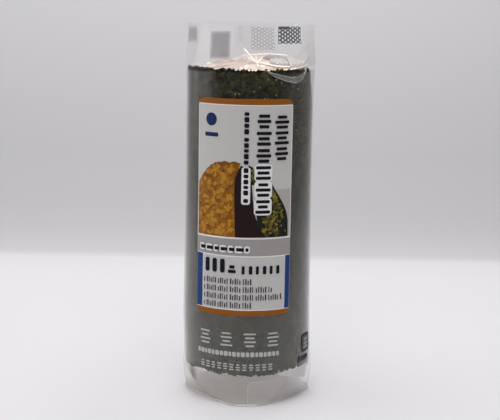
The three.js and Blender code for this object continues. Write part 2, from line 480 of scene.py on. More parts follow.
def roasted_nori(food):
    """Roasted nori sheet: a pressed mat of seaweed fibres, near black, with olive thin places a
    millimetre or two across, scattered pale flecks, a black cut edge frayed yellow in places and
    hardly any sheen."""
    material, tree, where = new_material("Roasted Nori")
    blotches, thin = mottled(
        tree,
        where,
        {"Scale": 0.4 / MM, "Detail": 8.0, "Roughness": 0.82},
        low=(0.45, rgba(food.nori_color)),
        high=(0.65, rgba(food.nori_thin_color)),
    )
    specks = add_node(
        tree,
        "ShaderNodeTexNoise",
        {"Scale": 1.8 / MM, "Detail": 5.0, "Roughness": 0.7},
        {"Vector": where},
    )
    share = add_node(
        tree,
        "ShaderNodeMapRange",
        {"From Min": 0.61, "From Max": 0.67, "To Max": 0.85},
        {"Value": specks},
    )
    parts = add_node(tree, "ShaderNodeSeparateXYZ", links={"Vector": where})
    edge = add_node(
        tree,
        "ShaderNodeMapRange",
        {"From Min": NORI_HIGH.z - 1.2 * MM, "From Max": NORI_HIGH.z - 0.4 * MM},
        {"Value": parts.outputs["Z"]},
    )
    cut = add_node(
        tree,
        "ShaderNodeMix",
        {"data_type": "RGBA", 7: rgba(food.nori_color, 0.5)},
        {0: edge, 6: thin},
    )
    frayed = add_node(
        tree,
        "ShaderNodeMapRange",
        {"From Min": 0.56, "From Max": 0.62, "To Max": 0.3},
        {"Value": blotches},
    )
    worn = add_node(tree, "ShaderNodeMath", {"operation": "MULTIPLY"}, {0: edge, 1: frayed})
    flecked = add_node(tree, "ShaderNodeMath", {"operation": "MAXIMUM"}, {0: share, 1: worn})
    mixed = add_node(
        tree,
        "ShaderNodeMix",
        {"data_type": "RGBA", 7: rgba(food.nori_fleck_color)},
        {0: flecked, 6: cut.outputs[2]},
    )
    bump = add_node(
        tree, "ShaderNodeBump", {"Strength": 0.8, "Distance": 0.12 * MM}, {"Height": specks}
    )
    surface = add_node(
        tree,
        "ShaderNodeBsdfPrincipled",
        {"Roughness": 0.7, "Specular IOR Level": 0.12},
        {"Base Color": mixed.outputs[2], "Normal": bump},
    )
    return finish_material(material, surface)


def yellowed_nori(food):
    """Thin scraps of nori, roasted until yellow: light comes through them, so they are far paler
    than the sheet, with fibres a third of a millimetre apart."""
    material, tree, where = new_material("Yellowed Thin Nori")
    yellow = food.nori_fleck_color
    fibres = {"Scale": 3.0 / MM, "Detail": 3.0}
    color = mottled(tree, where, fibres, (0.4, rgba(yellow, 0.6)), (0.6, rgba(yellow)))[1]
    surface = add_node(tree, "ShaderNodeBsdfPrincipled", {"Roughness": 0.6}, {"Base Color": color})
    return finish_material(material, surface)


def cooked_food(name, color, stain, patch, roughness):
    """Cooked grain or bean: moist and slightly glossy, a little see-through, stained in patches."""
    material, tree, where = new_material(name)
    patches = {"Scale": 1 / patch, "Detail": 3.0}
    stained = mottled(tree, where, patches, (0.36, rgba(stain)), (0.6, rgba(color)))[1]
    grain = add_node(
        tree, "ShaderNodeTexNoise", {"Scale": 1 / MM, "Detail": 4.0}, {"Vector": where}
    )
    bump = add_node(
        tree, "ShaderNodeBump", {"Strength": 0.25, "Distance": 0.1 * MM}, {"Height": grain}
    )
    moist = {
        "Roughness": roughness,
        "Subsurface Weight": 0.25,
        "Subsurface Scale": 1.0 * MM,
        "Subsurface Radius": (1.0, 0.8, 0.6),
    }
    surface = add_node(
        tree, "ShaderNodeBsdfPrincipled", moist, {"Base Color": stained, "Normal": bump}
    )
    return finish_material(material, surface)


SATIN = {"Roughness": 0.55, "Specular IOR Level": 0.2}  # of ink and coated paper


def printed(name, color):
    """Offset ink or bare coated paper: a flat satin colour with calendered paper's fine tooth."""
    material, tree, where = new_material(name)
    grain = {"Scale": 2.0 / MM, "Detail": 3.0}
    tooth, ink = mottled(tree, where, grain, (0.3, rgba(color, 0.93)), (0.6, rgba(color)))
    bump = add_node(
        tree, "ShaderNodeBump", {"Strength": 0.15, "Distance": 0.02 * MM}, {"Height": tooth}
    )
    surface = add_node(tree, "ShaderNodeBsdfPrincipled", SATIN, {"Base Color": ink, "Normal": bump})
    return finish_material(material, surface)


def offset_ink(name, hex_color):
    return printed(name, linear(hex_color))


def printed_beans():
    """Print of crushed beans: rounded golden pieces a few millimetres across with brown gaps."""
    material, tree, where = new_material("Bean Ground Print")
    pieces = add_node(tree, "ShaderNodeTexVoronoi", {"Scale": 0.5 / MM}, {"Vector": where})
    ramp = add_node(
        tree,
        "ShaderNodeValToRGB",
        {"Stops": ((0.1, rgba(linear("#a26a20"))), (0.8, rgba(linear("#7d4c12"))))},
        {"Fac": pieces},
    )
    surface = add_node(tree, "ShaderNodeBsdfPrincipled", SATIN, {"Base Color": ramp})
    return finish_material(material, surface)


def thin_ink_and_painted_shade(name, hex_color, cover):
    """A thin layer of ink on film, also used to lay painted shade on it: it hides only a share of
    what lies behind it.
    """
    material, tree, where = new_material(name)
    color = linear(hex_color)
    specks = {"Scale": 3.0 / MM, "Detail": 2.0}
    tone = mottled(tree, where, specks, (0.35, rgba(color, 0.9)), (0.6, rgba(color)))[1]
    ink = add_node(tree, "ShaderNodeBsdfPrincipled", {"Roughness": 0.4}, {"Base Color": tone})
    clear = add_node(tree, "ShaderNodeBsdfTransparent")
    surface = add_node(tree, "ShaderNodeMixShader", {0: cover}, {1: clear, 2: ink})
    return finish_material(material, surface)


# Painted shade: the paper's colour is darkened by height up the sweep, where the light falls off.
PAINTED_SHADE_HEIGHT = 140 * MM
PAINTED_SHADE_SHARES = (  # heights beside that one, and shares of the floor's colour
    (0.0, 1.0),
    (0.01, 0.765),
    (0.05, 0.68),
    (0.115, 0.652),
    (0.286, 0.646),
    (0.486, 0.69),
    (0.714, 0.755),
    (1.0, 0.838),
)
PAINTED_LIGHT_PATCH = Vector((-2 * MM, -30 * MM, 0))  # middle of the pool of light painted on the paper in front of the foot


def paper_with_painted_light_and_shade(color):
    """Matt background paper of one pale colour, with shade painted into it as a grey gradient by
    height that is deepest a little above the floor. In front of the foot it is a little paler with a
    painted pool of light, so that the roll hardly darkens the paper that it stands on."""
    material, tree, where = new_material("Paper With Painted Light And Shade")
    parts = add_node(tree, "ShaderNodeSeparateXYZ", links={"Vector": where})
    height = add_node(
        tree,
        "ShaderNodeMath",
        {"operation": "DIVIDE", 1: PAINTED_SHADE_HEIGHT},
        {0: parts.outputs["Z"]},
    )
    # Painted shade: a share of the floor's colour by height up the sweep.
    ramp = add_node(
        tree,
        "ShaderNodeValToRGB",
        {"Stops": [(position, rgba(color, share)) for position, share in PAINTED_SHADE_SHARES]},
        {"Fac": height},
    )
    # Painted light: the paper is made up to 18% paler near the front of the foot, against the roll's
    # shadow.
    away = add_node(
        tree, "ShaderNodeVectorMath", {"operation": "DISTANCE", 1: PAINTED_LIGHT_PATCH}, {0: where}
    )
    paler = add_node(
        tree,
        "ShaderNodeMapRange",
        {
            "interpolation_type": "SMOOTHSTEP",
            "From Min": 10 * MM,
            "From Max": 52 * MM,
            "To Min": 1.18,
            "To Max": 1,
        },
        {"Value": away.outputs["Value"]},
    )
    paper = add_node(
        tree, "ShaderNodeVectorMath", {"operation": "SCALE"}, {0: ramp, "Scale": paler}
    )
    surface = add_node(tree, "ShaderNodeBsdfPrincipled", {"Roughness": 0.8}, {"Base Color": paper})
    return finish_material(material, surface)


# ---- Outer film ---------------------------------------------------------------------------------


def sharp_share(angle, stiffness):
    """The radius of a creased film at an angle, beside that of a circle through its creases."""
    turned = [(angle - crease) % FULL_TURN for crease in CREASE_ANGLES]
    last = turned.index(min(turned))
    span = (CREASE_ANGLES[(last + 1) % len(CREASE_ANGLES)] - CREASE_ANGLES[last]) % FULL_TURN
    half = math.radians(span / 2)
    flat = math.cos(half) / math.cos(math.radians(turned[last]) - half)
    return lerp(flat, 1, stiffness)


class FilmForm:
    """Where the outer film lies: round on the nori, and flattened between creases past its ends.

    The film is made of small flat cells, so that prints laid on it keep their height above it.
    """

    SOFTNESS = 6  # degrees over which a crease is rounded, to each side
    CELL_ANGLE = 1.5
    CELL_HEIGHT = 1.2 * MM

    def __init__(self, settings):
        self.settings = settings
        self.corners = {}
        degrees = range(FULL_TURN)
        sharp = [sharp_share(angle, settings.stiffness) for angle in degrees]
        near = range(-self.SOFTNESS, self.SOFTNESS + 1)
        soft = [sum(sharp[(a + n) % FULL_TURN] for n in near) / len(near) for a in degrees]
        rim = [around(angle, soft[angle], 0) for angle in degrees]
        girth = sum((rim[i] - rim[i - 1]).length for i in degrees)
        self.shares = [share * math.tau / girth for share in soft]

    def share(self, angle):
        """The creased film's radius at an angle, beside that of a round film of the same girth."""
        whole = math.floor(angle)
        here, ahead = self.shares[whole % FULL_TURN], self.shares[(whole + 1) % FULL_TURN]
        return lerp(here, ahead, angle - whole)

    def place(self, angle, z, lift=0.0):
        """The point at an angle and a height, lifted off the film's outer face."""
        s = self.settings
        past = max(NORI_LOW.z - z, z - NORI_HIGH.z)
        creased = self.share(angle)
        start = -CREASE_REACH if creased > 1 else FLAT_START
        loose = smoothstep(past, start, FLAT_END)
        # Broad waves about 12 mm tall and ripples a third as wide, both deeper in loose film.
        waves = noise.noise(around(angle, 2.2, z / (12 * MM)))
        ripples = noise.noise(around(angle, 7.0, z / (9 * MM)) + Vector((0, 0, SEED)))
        into_seal = (FILM_EDGE_ANGLE - angle) % FULL_TURN
        seal = s.lap_step * (1 - smoothstep(into_seal, 0.7 * FILM_SEAL, FILM_SEAL))
        radius = s.radius * lerp(1, creased, loose) + lift + seal
        radius += lerp(0.05, 0.35, loose) * MM * waves + lerp(0.01, 0.1, loose) * MM * ripples
        point = around(angle, radius, z)
        width, depth = (s.upper_width, 1) if z > NORI_HIGH.z else (s.lower_width, s.lower_depth)
        drawn_in = smoothstep(past, 0, FLAT_END)
        return Vector((point.x * lerp(1, width, drawn_in), point.y * lerp(1, depth, drawn_in), z))

    def corner(self, column, row):
        """A corner of the film's cells, which is kept once it is worked out."""
        key = (column % round(FULL_TURN / self.CELL_ANGLE), row)
        if key not in self.corners:
            self.corners[key] = self.place(column * self.CELL_ANGLE, row * self.CELL_HEIGHT)
        return self.corners[key]

    def on_cells(self, angle, z, lift):
        """The point at an angle and a height on the film's cells, lifted off them."""
        column, across = divmod(angle / self.CELL_ANGLE, 1)
        row, up = divmod(z / self.CELL_HEIGHT, 1)
        column, row = int(column), int(row)
        low = self.corner(column, row).lerp(self.corner(column + 1, row), across)
        high = self.corner(column, row + 1).lerp(self.corner(column + 1, row + 1), across)
        return low.lerp(high, up) + around(angle, lift, 0)


def make_outer_film(settings):
    film = settings.film
    form = FilmForm(film)
    columns = round(FULL_TURN / form.CELL_ANGLE)
    rows = math.ceil(FILM_HIGH.z / form.CELL_HEIGHT)
    sheet = flat_sheet("Outer_Film", columns, rows)

    def wound(co):
        angle = (round(co.x * columns) - columns) * form.CELL_ANGLE
        z = min(round(co.y * rows) * form.CELL_HEIGHT, FILM_HIGH.z)
        return form.on_cells(angle, z, 0)

    shape(sheet, wound)
    sleeve = hazy_film("Polypropylene Film", film, film.haze, gloss=0.025, ends=True)
    finish_sheet(sheet, film.thickness, sleeve, "outer_film", "outer_film")


# ---- Inner film ---------------------------------------------------------------------------------


class End:
    """One end of the food: a low dome, tilted up to one side, with the inner film gathered over it.

    Its rim dips on the left and rises on the right. Its forms are given in millimetres.
    """

    def __init__(self, nori, outwards, rim, dip, crown, tilt, crown_angle, gather):
        self.nori, self.outwards, self.dip = nori, outwards, dip * MM
        self.rim, self.crown, self.tilt = rim * MM, crown * MM, tilt * MM
        self.crown_angle = crown_angle
        self.gather = Vector((*gather, 0)) * MM

    def height(self, point):
        """The height of the inner film over a point of the end, before it is pleated."""
        across = min(math.hypot(point.x, point.y) / INNER_RADIUS, 1)
        seen = math.degrees(math.atan2(point.x, -point.y))
        tilt = self.tilt * across * math.cos(math.radians(seen - self.crown_angle))
        sides = bell(turn_from(-72, seen), 0, 42) - 1.2 * bell(turn_from(90, seen), 0, 34)
        dip = self.dip * across**2 * sides
        return self.nori + self.outwards * (self.rim - dip + (1 - across**2) * (self.crown + tilt))


UPPER_END = End(
    NORI_HIGH.z, 1, rim=0.3, dip=1.3, crown=2.7, tilt=3.3, crown_angle=140, gather=(2, -8)
)
LOWER_END = End(NORI_LOW.z, -1, rim=0, dip=0, crown=1.4, tilt=0.4, crown_angle=-60, gather=(0, 0))
PLEATS = {  # directions from the gather, and widths in millimetres
    -156: 0.26,
    -110: 0.18,
    -60: 0.16,
    -25: 0.22,
    10: 0.32,
    44: 0.6,
    100: 0.26,
    147: 0.5,
    175: 0.28,
}
SHARP_PLEAT = 0.55  # pleats wider than this stand up in a sharp ridge
SOFT_PLEAT = 0.27  # past the upper end, pleats narrower than this aren't folded tight
GATHER_SHARE = 0.012  # the film closes to this share of its radius where it is gathered


def pleat_height(direction, share):
    """How far the gathered film stands up in pleats that run out from the gather."""
    height = 0
    for pleat, width in PLEATS.items():
        aside = INNER_RADIUS * share * math.radians(abs(turn_from(pleat, direction)))
        height = max(height, 0.6 * width * MM * math.exp(-aside / (1.4 * MM)))
    return height * max(0, math.sin(math.pi * share)) ** 0.6


def gathered(end, direction, share):
    """A point of the inner film, in a direction from its gather, a share of the way to the rim."""
    point = around(direction, INNER_RADIUS * share, 0) + end.gather * (1 - share)
    slack = 0.22 * MM * noise.noise(point / (6 * MM) + Vector((0, 0, end.outwards * 3)))
    pucker = 0.5 * MM * bell(share, 0, 0.12)
    taut = 0.9 * MM * bell(turn_from(50, direction), 0, 45) * math.sin(math.pi * share)
    relief = pleat_height(direction, share) + slack - pucker - taut
    point.z = end.height(point) + end.outwards * relief
    return point


def make_inner_film(settings):
    film = settings.film
    columns, end_rows, side_rows = 240, 40, 4
    rows = 2 * end_rows + side_rows
    sheet = flat_sheet("Inner_Film", columns, rows)

    def wrapped(co):
        direction = FULL_TURN * co.x
        row = round(co.y * rows)
        if row <= end_rows:
            return gathered(LOWER_END, direction, lerp(GATHER_SHARE, 1, row / end_rows))
        if row >= end_rows + side_rows:
            return gathered(UPPER_END, direction, lerp(GATHER_SHARE, 1, (rows - row) / end_rows))
        low, high = (gathered(end, direction, 1) for end in (LOWER_END, UPPER_END))
        return low.lerp(high, (row - end_rows) / side_rows)

    shape(sheet, wrapped)
    weld(sheet)
    material = hazy_film(
        "Gathered Polypropylene Film", film, 0.5, color=film.inner_color, clings=True
    )
    finish_sheet(sheet, film.thickness, material, "inner_film", "inner_film")


def fold_strip(path, steps, width, stand):
    """A narrow tight fold of film along path(0 to 1), standing up from what it lies on."""
    strip = flat_sheet("Fold", steps, 2)

    def folded(co):
        here, ahead = path(co.x), path(co.x + 0.01)
        aside = (ahead - here).cross(Vector((0, 0, 1)))
        if aside.length < 1e-9:
            aside = Vector((1, 0, 0))
        middle = 1 - abs(co.y - 0.5) * 2
        return here + aside.normalized() * (co.y - 0.5) * width + Vector((0, 0, stand * middle))

    shape(strip, folded)
    thicken(strip, 0.08 * MM)
    return strip


def finish_folds(name, strips, material):
    """Joins folds of the inner film into one piece, and finishes it."""
    folds = joined(name, strips)
    smooth_shaded(folds)
    finish_piece(folds, material, "inner_film")


def point_along(points, t):
    """The point a share t of the way along a broken line of evenly timed points."""
    along = min(max(t, 0), 0.9999) * (len(points) - 1)
    return points[int(along)].lerp(points[int(along) + 1], along % 1)


def path_along(points):
    """The path along a broken line."""
    return lambda t: point_along(points, t)


def over_dome(spots, lift):
    """Points that lie over spots of the upper end, given in millimetres from its middle."""
    points = [Vector((x, y, 0)) * MM for x, y in spots]
    return [Vector((point.x, point.y, UPPER_END.height(point) + lift)) for point in points]


CREST = ((-3, 4.0), (0.5, 3.4), (4, 3.6), (7, 3.4), (9.6, 3.0), (12.4, 2.2))
CREST_END = ((12.4, 2.2), (12.6, -2), (13.0, -6), (13.6, -10), (14.0, -12.6))


def make_film_folds(settings):
    """Tight folds where the inner film is gathered, which show as bright lines."""
    film = settings.film
    strips, tails = [], []
    for end in (UPPER_END, LOWER_END):
        for pleat, width in PLEATS.items():
            if end is UPPER_END and width < SOFT_PLEAT:
                continue

            def along_pleat(t, end=end, pleat=pleat):
                share = lerp(0.0, 0.98, t)
                return gathered(end, pleat, share) + Vector((0, 0, end.outwards * 0.08 * MM))

            stand = (0.36 if width > SHARP_PLEAT else 0.1) * MM
            fold = fold_strip(along_pleat, 32, width * 1.3 * MM, end.outwards * stand)
            strips.append(fold)

        def collar(t, end=end):
            angle = lerp(-100, 100, t)
            edge = around(angle, INNER_RADIUS + 0.15 * MM, 0)
            dip = (0.5 + 0.2 * noise.noise(around(angle, 5, 0))) * MM
            edge.z = end.height(edge) - end.outwards * dip
            return edge

        strips.append(fold_strip(collar, 240, 0.9 * MM, end.outwards * 0.3 * MM))

    crest, crest_end = over_dome(CREST, 0.5 * MM), over_dome(CREST_END, 0.4 * MM)
    strips.append(fold_strip(path_along(crest), 40, width=0.5 * MM, stand=0.2 * MM))
    strips.append(fold_strip(path_along(crest_end), 40, width=0.4 * MM, stand=0.2 * MM))
    gather = UPPER_END.gather + Vector((0, 0, UPPER_END.height(UPPER_END.gather)))
    nori_top = Vector((0, 0, NORI_HIGH.z))
    for side in (-1, 1):
        strand = [
            gather + Vector((side * 0.2, 0, 0.1)) * MM,
            Vector((-0.4 + side * 0.6, -5.2, 3.6)) * MM + nori_top,
            Vector((-2.9 + side * 0.7, -2.4, 7.2 - side * 0.9)) * MM + nori_top,
        ]
        strips.append(fold_strip(path_along(strand), 24, width=0.45 * MM, stand=0.1 * MM))
        crease = [
            around(-7.4 + side * 0.8, film.radius - 1.1 * MM, NORI_HIGH.z + 7.2 * MM),
            around(-8.8 + side * 0.8, film.radius - 0.9 * MM, NORI_HIGH.z + 8.6 * MM),
            around(-9.4 + side * 1.0, film.radius - 0.8 * MM, FILM_HIGH.z - 0.4 * MM),
        ]
        tails.append(fold_strip(path_along(crease), 36, width=0.4 * MM, stand=0.1 * MM))
    twisted = hazy_film("Tail Polypropylene Film", film, 0.12, gloss=0.3)
    finish_folds("Film_Tail", tails, twisted)
    folded = hazy_film(
        "Folded Polypropylene Film", film, 0.95, gloss=0.2, through=0.05, color=film.inner_color
    )
    finish_folds("Film_Folds", strips, folded)


# Painted shade: a grey facet that darkens the food where a fold of film is in shade.
PAINTED_SHADE_FACET = (  # directions from the gather, and shares of the way out where it starts and ends
    (52, 0.34, 0.84),
    (72, 0.28, 0.66),
    (95, 0.26, 0.59),
    (118, 0.24, 0.56),
    (142, 0.2, 0.45),
)
PALE_FACET = (
    (58, 0.84, 0.96),
    (74, 0.7, 0.96),
    (92, 0.63, 0.96),
    (110, 0.61, 0.95),
    (128, 0.6, 0.9),
)


def make_film_facets(settings):
    """Taut facets between the inner film's pleats: a grey one with the shade of a fold painted
    over the food, and a pale one where doubled film whitens the food.
    """
    film = settings.film
    for kind, reach, color in (
        # Painted shade: this facet's grey stands in for the shade of a fold.
        ("Shaded", PAINTED_SHADE_FACET, "#a69d9c"),
        ("Pale", PALE_FACET, "#dcdad9"),
    ):
        facet = flat_sheet("Film_%s_Facet" % kind, 24, 12)
        rows = [Vector(row) for row in reach]

        def stretched(co, rows=rows):
            direction, near, far = point_along(rows, co.x)
            return gathered(UPPER_END, direction, lerp(near, far, co.y)) + Vector((0, 0, 0.4 * MM))

        shape(facet, stretched)
        taut = hazy_film(
            "%s Polypropylene Film" % kind, film, 0.5, gloss=0.03, color=linear(color)
        )
        finish_sheet(facet, film.thickness, taut, "inner_film")


FIN_ANGLES = (47.0, 150.0)
FIN_HEIGHT = 6.5 * MM
FIN_FOOT = INNER_RADIUS * 0.97  # the radius at which it leaves the gathered film


def make_film_fin(settings):
    """The loose edge of the inner film, which stands up in a rounded fin at the sleeve's right."""
    film = settings.film

    def fin_point(u, v):
        angle = lerp(*FIN_ANGLES, u)
        top = FIN_HEIGHT * max(0, math.sin(math.pi * u)) ** 2
        foot = around(angle, FIN_FOOT, 0)
        r = lerp(FIN_FOOT, film.radius - 1.0 * MM, smoothstep(v, 0, 0.8))
        return around(angle, r + 0.2 * MM * math.sin(u * 17), UPPER_END.height(foot) + top * v)

    fin = flat_sheet("Film_Fin", 48, 12)
    shape(fin, lambda co: fin_point(co.x, co.y))
    loose = hazy_film("Fin Polypropylene Film", film, 0.2, gloss=0.03, through=0.65)
    finish_sheet(fin, film.thickness, loose, "inner_film")
    edge = fold_strip(lambda t: fin_point(t, 1), 48, width=0.3 * MM, stand=0.2 * MM)
    bright = hazy_film("Fin Edge Polypropylene Film", film, 0.2, gloss=0.3)
    finish_folds("Film_Fin_Edge", [edge], bright)


# ---- Nori ---------------------------------------------------------------------------------------

NORI_EDGE_ANGLE = 205.0
NORI_TURNS = 1.45
NORI_CLEARANCE = 0.3 * MM  # between the film's outer face and the nori
CRUMBS = (  # angles, and heights in millimetres
    (-89, 113.0),
    (-90, 109.6),
    (-89, 103.5),
    (-88, 87.0),
    (-89, 66.0),
    (-88, 47.5),
    (53, 10.4),
    (60, 9.2),
)
SCRAP_COUNT = 16
UPRIGHT = Matrix.Rotation(math.radians(90), 4, "X")


def make_nori_crumbs(settings):
    """Crumbs of nori that have broken off its edges, and yellow scraps, between it and the film."""
    food = settings.food
    random.seed(SEED + 5)
    scraps = [
        (random.gauss(12, 17), NORI_HIGH.z / MM - random.uniform(1.5, 11))
        for _ in range(SCRAP_COUNT)
    ]
    for name, spots, wall, scale, material in (
        ("Nori_Crumbs", CRUMBS, food.nori_thickness, 1.0, bpy.data.materials["Roasted Nori"]),
        ("Nori_Scraps", scraps, 0.1 * MM, 0.8, yellowed_nori(food)),
    ):
        crumb = flat_sheet(name, 3, 3)
        shape(crumb, lambda co: (co - Vector((0.5, 0.5, 0))) * scale * MM)
        thicken(crumb, wall)
        places = []
        for angle, z in spots:
            depth = 0.12 * MM if z > NORI_LOW.z / MM else 1.5 * MM
            stand = Matrix.Rotation(math.radians(angle), 4, "Z") @ UPRIGHT
            size = Matrix.Diagonal((random.uniform(0.3, 0.6), random.uniform(0.5, 1.1), 1, 1))
            tilt = Matrix.Rotation(random.uniform(-0.6, 0.6), 4, "Z")
            where = around(angle, settings.film.radius - depth, z * MM)
            places.append(Matrix.Translation(where) @ stand @ tilt @ size)
        finish_piece(scattered(name, crumb, places), material, "nori")


def make_nori(settings):
    food = settings.food
    columns, rows = 1000, 28
    sheet = flat_sheet("Nori", columns, rows)
    length = NORI_HIGH.z - NORI_LOW.z

    def torn(angle, end):
        """How far the torn edge stands past a straight one."""
        along = around(angle, 1, end * 3)
        teeth = 0.75 * noise.noise(along * 26) + 0.45 * noise.noise(along * 60)
        bites = max(0, noise.noise(along * 9) - 0.25) * (3.0 if end < 0 else 2.0)

        def near(middle, width):
            return bell(turn_from(middle, angle), 0, width)

        if end > 0:
            cut = 0.2 + 0.35 * near(-52, 26) - 1.9 * near(88, 24)
            return (1.2 * teeth - bites + cut - 1.8 * near(-125, 30)) * MM
        drawn_up = near(40, 24) + 0.7 * near(-48, 16)
        return (1.1 * teeth - bites - 0.8 * noise.noise(along * 4) - drawn_up) * MM

    def rolled(co):
        turned = NORI_TURNS * (1 - co.x)
        angle = NORI_EDGE_ANGLE - FULL_TURN * turned
        end = -1 if co.y < 0.5 else 1
        z = NORI_LOW.z + length * co.y
        z += smoothstep(abs(co.y - 0.5), 0.485, 0.5) * torn(angle, end) * end
        # The upper edge curls in a little at the right.
        curl = 1.1 * MM * bell(turn_from(78, angle), 0, 30) * smoothstep(z, 102 * MM, 115 * MM)
        radius = settings.film.radius - NORI_CLEARANCE - 0.28 * MM * turned - curl
        radius += 0.08 * MM * noise.noise(around(angle, 4, z / (6 * MM)))
        return around(angle, radius, z)

    shape(sheet, rolled)
    finish_sheet(sheet, food.nori_thickness, roasted_nori(food), "nori", "nori")
    make_nori_crumbs(settings)


# ---- Rice and filling ---------------------------------------------------------------------------


def cooked_core(name, inner, outer, drop):
    """Cooked food between two radii, from end to end, just under the pieces that lie on it."""
    columns, across, along = 72, 10, 8
    rows = 2 * (across + along)
    core = flat_sheet(name, columns, rows)
    middle = (UPPER_END.nori + LOWER_END.nori) / 2

    def placed(co):
        angle = FULL_TURN * co.x
        row = round(co.y * rows) % rows
        if row < along:
            r, height = outer, lerp(-1, 1, row / along)
        elif row < along + across:
            r, height = lerp(outer, inner, (row - along) / across), 1
        elif row < 2 * along + across:
            r, height = inner, lerp(1, -1, (row - along - across) / along)
        else:
            r, height = lerp(inner, outer, (row - 2 * along - across) / across), -1
        end = UPPER_END if height > 0 else LOWER_END
        top = end.height(around(angle, r, 0)) - end.outwards * drop
        return around(angle, r, lerp(middle, top, abs(height)))

    shape(core, placed)
    weld(core)
    smooth_shaded(core, 40)
    return core


def lumpy_seed(name, length, width, lumps):
    """One grain or crushed piece, as a small uneven ball."""
    deselect_all()
    bpy.ops.mesh.primitive_uv_sphere_add(segments=8, ring_count=6, radius=0.5)
    seed = just_added(name)
    size = Vector((length, width, width * 0.85))

    def uneven(co):
        turned = Vector((co.z, co.x, co.y))
        return turned * size * (1 + lumps * noise.noise(co * 3 + Vector((SEED, 0, 0))))

    shape(seed, uneven)
    return seed


GOLDEN_ANGLE = 137.508


def grain_places(end, inner, outer, spacing, drop, count, tilt):
    """Places for grains between two radii, lying over an end in an even but disordered pattern."""
    places = []
    for i in range(count):
        share = (i + 0.5) / count
        r = math.sqrt(lerp(inner**2, outer**2, share)) + random.uniform(-0.5, 0.5) * spacing
        r = min(r, outer)
        angle = i * GOLDEN_ANGLE
        z = end.height(around(angle, r, 0)) - end.outwards * (drop + random.uniform(0, 0.6) * MM)
        turn = Matrix.Rotation(random.uniform(0, math.tau), 4, "Z")
        lean = Matrix.Rotation(random.gauss(0, tilt), 4, "Y")
        scale = Matrix.Scale(random.uniform(0.85, 1.12), 4)
        places.append(Matrix.Translation(around(angle, r, z)) @ turn @ lean @ scale)
    return places


def make_rice(settings):
    food = settings.food
    random.seed(SEED)
    length = food.grain_length
    width = length * 0.45
    outer = RICE_RADIUS - width * 0.5
    inner = FILLING_RADIUS
    drop = 0.6 * MM + width * 0.45
    places = []
    for end in (UPPER_END, LOWER_END):
        places += grain_places(end, inner, outer, width * 0.4, drop, count=210, tilt=0.35)
    material = cooked_food(
        "Cooked Rice", food.rice_color, food.soy_color, patch=9 * MM, roughness=0.35
    )
    grains = scattered("Rice_Grains", lumpy_seed("Grain", length, width, 0.1), places)
    smooth_shaded(grains)
    finish_piece(grains, material, "rice", "rice")
    core = cooked_core("Rice_Core", inner, RICE_RADIUS - 0.2 * MM, 0.5 * MM + width)
    finish_piece(core, material, "rice")


def make_filling(settings):
    food = settings.food
    random.seed(SEED + 1)
    length = food.bean_length
    outer = FILLING_RADIUS
    drop = 0.6 * MM + length * 0.3
    places = []
    for end in (UPPER_END, LOWER_END):
        places += grain_places(end, 0, outer, length * 0.3, drop, count=70, tilt=0.8)
    material = cooked_food(
        "Crushed Natto", food.bean_color, food.hull_color, patch=3 * MM, roughness=0.25
    )
    bits = scattered("Natto_Pieces", lumpy_seed("Bean", length, length * 0.7, 0.35), places)
    smooth_shaded(bits)
    finish_piece(bits, material, "filling", "filling")
    core = cooked_core("Natto_Core", 0, outer - 0.2 * MM, 0.6 * MM + length * 0.6)
    finish_piece(core, material, "filling")


# ---- Label and prints ---------------------------------------------------------------------------

LABEL_ANGLES = (-50.0, 41.0)
LABEL_CORNER = 2.4  # millimetres, as are all the places and sizes on the artwork
LABEL_LIFT = 0.14 * MM  # of the label's face off the film
INK = 0.015 * MM  # thickness of one layer of ink
STROKE_SHARES = (0.8, 1.0, 0.66, 0.92, 0.74, 1.0)


